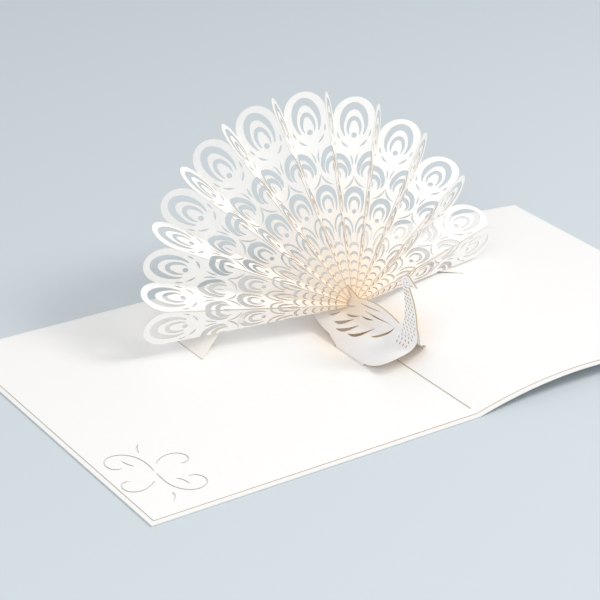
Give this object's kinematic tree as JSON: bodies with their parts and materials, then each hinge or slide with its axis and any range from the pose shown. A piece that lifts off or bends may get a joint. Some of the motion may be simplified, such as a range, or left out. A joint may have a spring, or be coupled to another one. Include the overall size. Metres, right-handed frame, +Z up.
{
  "type": "pop-up card",
  "caption": "Square greeting card, stored open and lying flat, with a small pop-up bird of two paper sheets standing on the spine and a pleated, pierced fan as its tail.",
  "frame": {"origin": "on the surface the card lies on, under the spine, halfway between the front and the back edge", "axes": "+X to the right leaf, square to the spine; +Y back along the spine, from the bird's beak to its tail; +Z up"},
  "size_m": [0.2992, 0.15, 0.0879],
  "materials": {
    "cover_card": "satin",
    "liner_card": "satin",
    "body_paper": "satin",
    "fan_paper": "satin"
  },
  "bodies": {
    "root": {"cover": "cover_card", "liner": "liner_card", "body_left": "body_paper", "body_right": "body_paper", "tail_fan": "fan_paper", "strip_left": "fan_paper", "strip_right": "fan_paper"}
  },
  "joints": []
}
